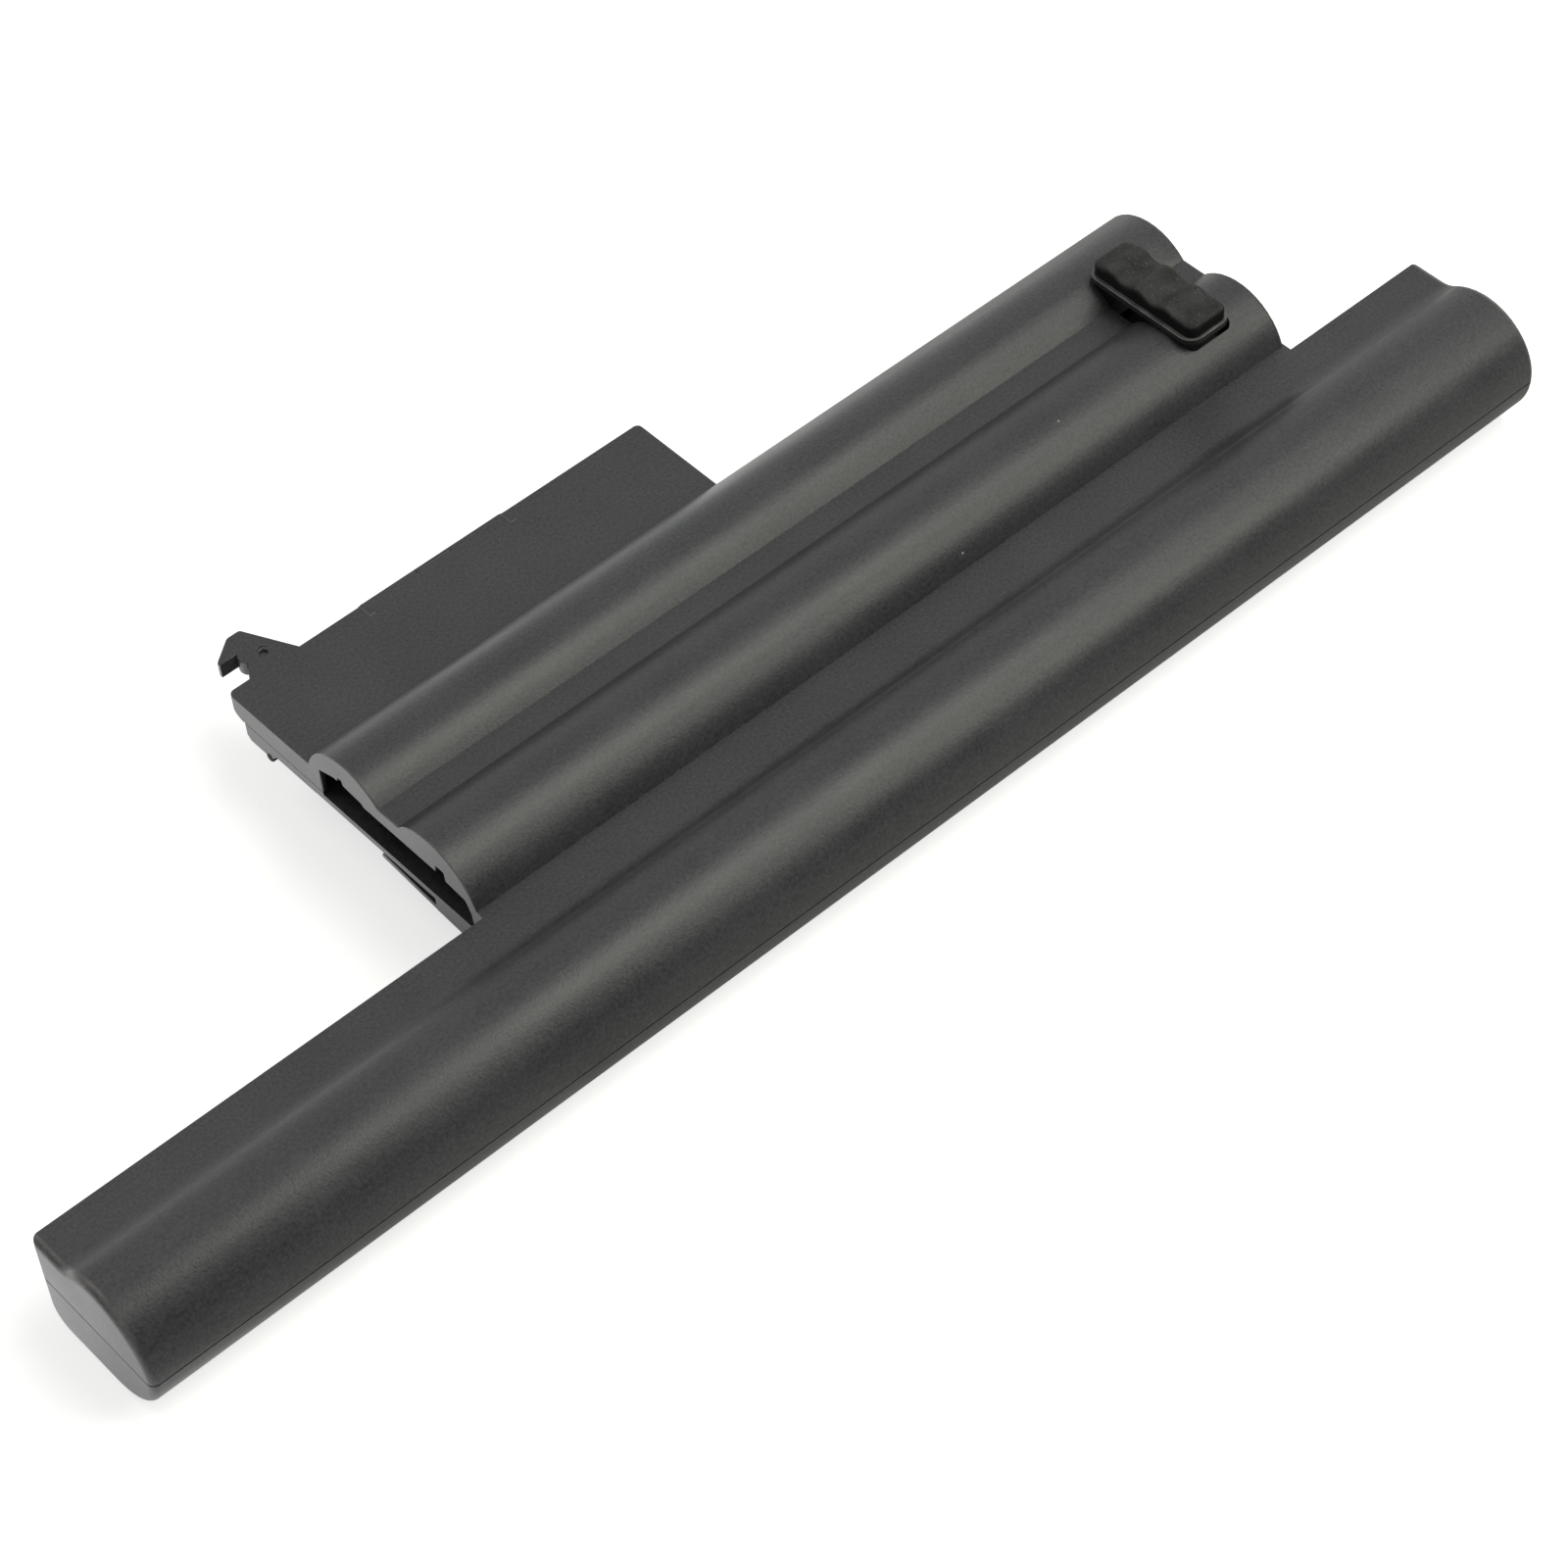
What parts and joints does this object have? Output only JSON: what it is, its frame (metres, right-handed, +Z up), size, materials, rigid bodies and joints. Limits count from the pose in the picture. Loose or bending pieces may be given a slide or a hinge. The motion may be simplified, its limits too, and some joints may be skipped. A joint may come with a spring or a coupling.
{
  "type": "laptop battery",
  "caption": "Laptop battery pack: a long bar with a round hump, a block with two more humps, a thin wing with connector and catch hook, and a slide latch.",
  "frame": {"origin": "on the flat underside of the long bar, below the middle of its row of cells", "axes": "+X along the bar towards the latch, +Y from the bar towards the wing, +Z up through the humps"},
  "size_m": [0.2678, 0.094, 0.0294],
  "materials": {
    "shell_plastic": "fine matt grain, charcoal",
    "cell_sleeve": "shrunk-on sleeve",
    "insulating_paper": "pale pressed paper",
    "nickel": "bare nickel strip",
    "foam_tape": "white foam tape",
    "board_laminate": "green solder mask",
    "chip_plastic": "moulded chip bodies",
    "connector_plastic": "moulded connector",
    "contact_metal": "gilt contact leaves",
    "latch_plastic": "smooth black",
    "grip_rubber": "soft black rubber",
    "spring_steel": "bent spring strip"
  },
  "bodies": {
    "pack": {"upper_shell": "shell_plastic", "lower_shell": "shell_plastic", "cell_1": "cell_sleeve", "cell_2": "cell_sleeve", "cell_3": "cell_sleeve", "cell_4": "cell_sleeve", "cell_5": "cell_sleeve", "cell_6": "cell_sleeve", "cell_7": "cell_sleeve", "cell_8": "cell_sleeve", "cap_ring_1": "insulating_paper", "cap_ring_2": "insulating_paper", "cap_ring_3": "insulating_paper", "cap_ring_4": "insulating_paper", "cap_ring_5": "insulating_paper", "cap_ring_6": "insulating_paper", "cap_ring_7": "insulating_paper", "cap_ring_8": "insulating_paper", "bar_link_left": "nickel", "bar_link_second": "nickel", "bar_link_middle": "nickel", "bar_link_fourth": "nickel", "bar_link_right": "nickel", "block_link_left": "nickel", "block_link_middle": "nickel", "block_link_right": "nickel", "left_strip": "nickel", "middle_strip": "nickel", "right_strip": "nickel", "bar_tape": "foam_tape", "near_tape": "foam_tape", "far_tape": "foam_tape", "circuit_board": "board_laminate", "gauge_chip": "chip_plastic", "switch_transistor_1": "chip_plastic", "switch_transistor_2": "chip_plastic", "fuse": "chip_plastic", "shunt_resistor": "chip_plastic", "connector_housing": "connector_plastic", "connector_contacts": "contact_metal", "latch_guide": "latch_plastic", "detent_spring": "spring_steel"},
    "latch": {"latch_knob": "latch_plastic", "latch_grip": "grip_rubber", "latch_slide": "latch_plastic"}
  },
  "joints": [
    {"name": "latch_travel", "type": "slide", "parent": "pack", "child": "latch", "axis": [-1, 0, 0], "range_m": [0, 0.003]}
  ]
}
